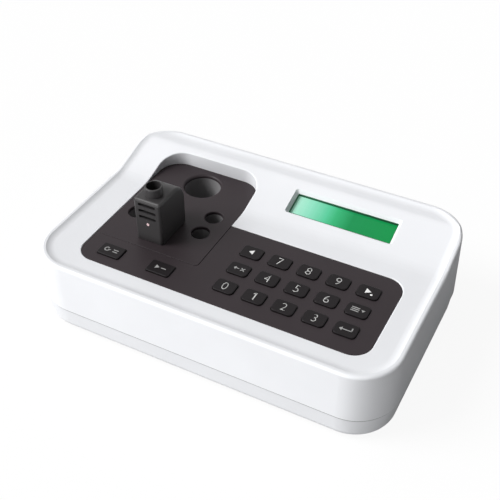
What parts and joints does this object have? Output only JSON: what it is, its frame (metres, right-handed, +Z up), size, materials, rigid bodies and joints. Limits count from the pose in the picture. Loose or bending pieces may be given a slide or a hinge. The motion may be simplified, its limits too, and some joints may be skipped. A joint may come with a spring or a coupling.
{
  "type": "coagulation analyzer",
  "caption": "Low bench analyzer with heated wells in a corner recess, a hinged measuring cover with a collar, push keys and a sloped lit display.",
  "frame": {"origin": "on the surface it stands on, under the middle of the case", "axes": "+X to the right seen from the front, +Y to the back, +Z up"},
  "size_m": [0.239, 0.1524, 0.0891],
  "materials": {
    "case": "fine satin, moulded",
    "panel": "fine satin, moulded",
    "keys": "satin",
    "cover": "fine satin, moulded",
    "cup": "satin",
    "lens": "clear, tinted",
    "display_rim": "satin, dark green",
    "black_plastic": "satin",
    "clear_plastic": "milky",
    "connector_plastic": "satin",
    "rubber": "matte",
    "steel": "zinc plated",
    "connector_steel": "bright plated",
    "aluminium": "milled",
    "film": "satin film",
    "foam": "closed-cell foam",
    "circuit_board": "solder mask",
    "ribbon": "flexible",
    "display_glass": "smooth, lit from behind"
  },
  "bodies": {
    "case": {"upper_case": "case", "lower_case": "case", "rubber_feet": "rubber", "case_screws": "steel", "keypad_panel": "panel", "keypad_board": "circuit_board", "key_switches": "black_plastic", "keypad_screws": "steel", "incubator_cover": "panel", "hinge_lug": "panel", "reagent_cup": "cup", "sample_cups": "cup", "heater_block": "aluminium", "heater_film": "film", "insulation_pad": "foam", "temperature_sensor": "steel", "incubator_screws": "steel", "measuring_cell": "black_plastic", "lamp_diode": "clear_plastic", "photodiode": "black_plastic", "detector_board": "circuit_board", "cover_hinge_pin": "steel", "display_frame": "display_rim", "display_glass": "display_glass", "display_backlight": "clear_plastic", "display_board": "circuit_board", "display_screws": "steel", "main_board": "circuit_board", "board_screws": "steel", "board_chips": "black_plastic", "buzzer": "black_plastic", "board_connectors": "connector_plastic", "keypad_ribbon": "ribbon", "display_ribbon": "ribbon", "rear_plate": "panel", "power_inlet": "black_plastic", "inlet_pin": "steel", "serial_port": "connector_steel", "power_switch": "black_plastic"},
    "measuring_cover": {"measuring_cell_cover": "cover", "cover_lens": "lens"},
    "rocker": {"switch_rocker": "black_plastic"},
    "key_left": {"key_left": "keys"},
    "key_7": {"key_7": "keys"},
    "key_8": {"key_8": "keys"},
    "key_9": {"key_9": "keys"},
    "key_right": {"key_right": "keys"},
    "key_clear": {"key_clear": "keys"},
    "key_4": {"key_4": "keys"},
    "key_5": {"key_5": "keys"},
    "key_6": {"key_6": "keys"},
    "key_menu": {"key_menu": "keys"},
    "key_0": {"key_0": "keys"},
    "key_1": {"key_1": "keys"},
    "key_2": {"key_2": "keys"},
    "key_3": {"key_3": "keys"},
    "key_enter": {"key_enter": "keys"},
    "key_restart": {"key_restart": "keys"},
    "key_start": {"key_start": "keys"}
  },
  "joints": [
    {"name": "cover_hinge", "type": "hinge", "parent": "case", "child": "measuring_cover", "pos_m": [-0.057, -0.002, 0.0553], "axis": [-1, 0, 0], "range_deg": [0, 88]},
    {"name": "power_rocker", "type": "hinge", "parent": "case", "child": "rocker", "pos_m": [-0.014, 0.0709, 0.0322], "axis": [0, 0, 1], "range_deg": [0, 16]},
    {"name": "key_left_press", "type": "slide", "parent": "case", "child": "key_left", "axis": [0, 0, -1], "range_m": [0, 0.0009], "stiffness_N_per_m": 600, "springref_m": -0.0005},
    {"name": "key_7_press", "type": "slide", "parent": "case", "child": "key_7", "axis": [0, 0, -1], "range_m": [0, 0.0009], "stiffness_N_per_m": 600, "springref_m": -0.0005},
    {"name": "key_8_press", "type": "slide", "parent": "case", "child": "key_8", "axis": [0, 0, -1], "range_m": [0, 0.0009], "stiffness_N_per_m": 600, "springref_m": -0.0005},
    {"name": "key_9_press", "type": "slide", "parent": "case", "child": "key_9", "axis": [0, 0, -1], "range_m": [0, 0.0009], "stiffness_N_per_m": 600, "springref_m": -0.0005},
    {"name": "key_right_press", "type": "slide", "parent": "case", "child": "key_right", "axis": [0, 0, -1], "range_m": [0, 0.0009], "stiffness_N_per_m": 600, "springref_m": -0.0005},
    {"name": "key_clear_press", "type": "slide", "parent": "case", "child": "key_clear", "axis": [0, 0, -1], "range_m": [0, 0.0009], "stiffness_N_per_m": 600, "springref_m": -0.0005},
    {"name": "key_4_press", "type": "slide", "parent": "case", "child": "key_4", "axis": [0, 0, -1], "range_m": [0, 0.0009], "stiffness_N_per_m": 600, "springref_m": -0.0005},
    {"name": "key_5_press", "type": "slide", "parent": "case", "child": "key_5", "axis": [0, 0, -1], "range_m": [0, 0.0009], "stiffness_N_per_m": 600, "springref_m": -0.0005},
    {"name": "key_6_press", "type": "slide", "parent": "case", "child": "key_6", "axis": [0, 0, -1], "range_m": [0, 0.0009], "stiffness_N_per_m": 600, "springref_m": -0.0005},
    {"name": "key_menu_press", "type": "slide", "parent": "case", "child": "key_menu", "axis": [0, 0, -1], "range_m": [0, 0.0009], "stiffness_N_per_m": 600, "springref_m": -0.0005},
    {"name": "key_0_press", "type": "slide", "parent": "case", "child": "key_0", "axis": [0, 0, -1], "range_m": [0, 0.0009], "stiffness_N_per_m": 600, "springref_m": -0.0005},
    {"name": "key_1_press", "type": "slide", "parent": "case", "child": "key_1", "axis": [0, 0, -1], "range_m": [0, 0.0009], "stiffness_N_per_m": 600, "springref_m": -0.0005},
    {"name": "key_2_press", "type": "slide", "parent": "case", "child": "key_2", "axis": [0, 0, -1], "range_m": [0, 0.0009], "stiffness_N_per_m": 600, "springref_m": -0.0005},
    {"name": "key_3_press", "type": "slide", "parent": "case", "child": "key_3", "axis": [0, 0, -1], "range_m": [0, 0.0009], "stiffness_N_per_m": 600, "springref_m": -0.0005},
    {"name": "key_enter_press", "type": "slide", "parent": "case", "child": "key_enter", "axis": [0, 0, -1], "range_m": [0, 0.0009], "stiffness_N_per_m": 600, "springref_m": -0.0005},
    {"name": "key_restart_press", "type": "slide", "parent": "case", "child": "key_restart", "axis": [0, 0, -1], "range_m": [0, 0.0009], "stiffness_N_per_m": 600, "springref_m": -0.0005},
    {"name": "key_start_press", "type": "slide", "parent": "case", "child": "key_start", "axis": [0, 0, -1], "range_m": [0, 0.0009], "stiffness_N_per_m": 600, "springref_m": -0.0005}
  ]
}
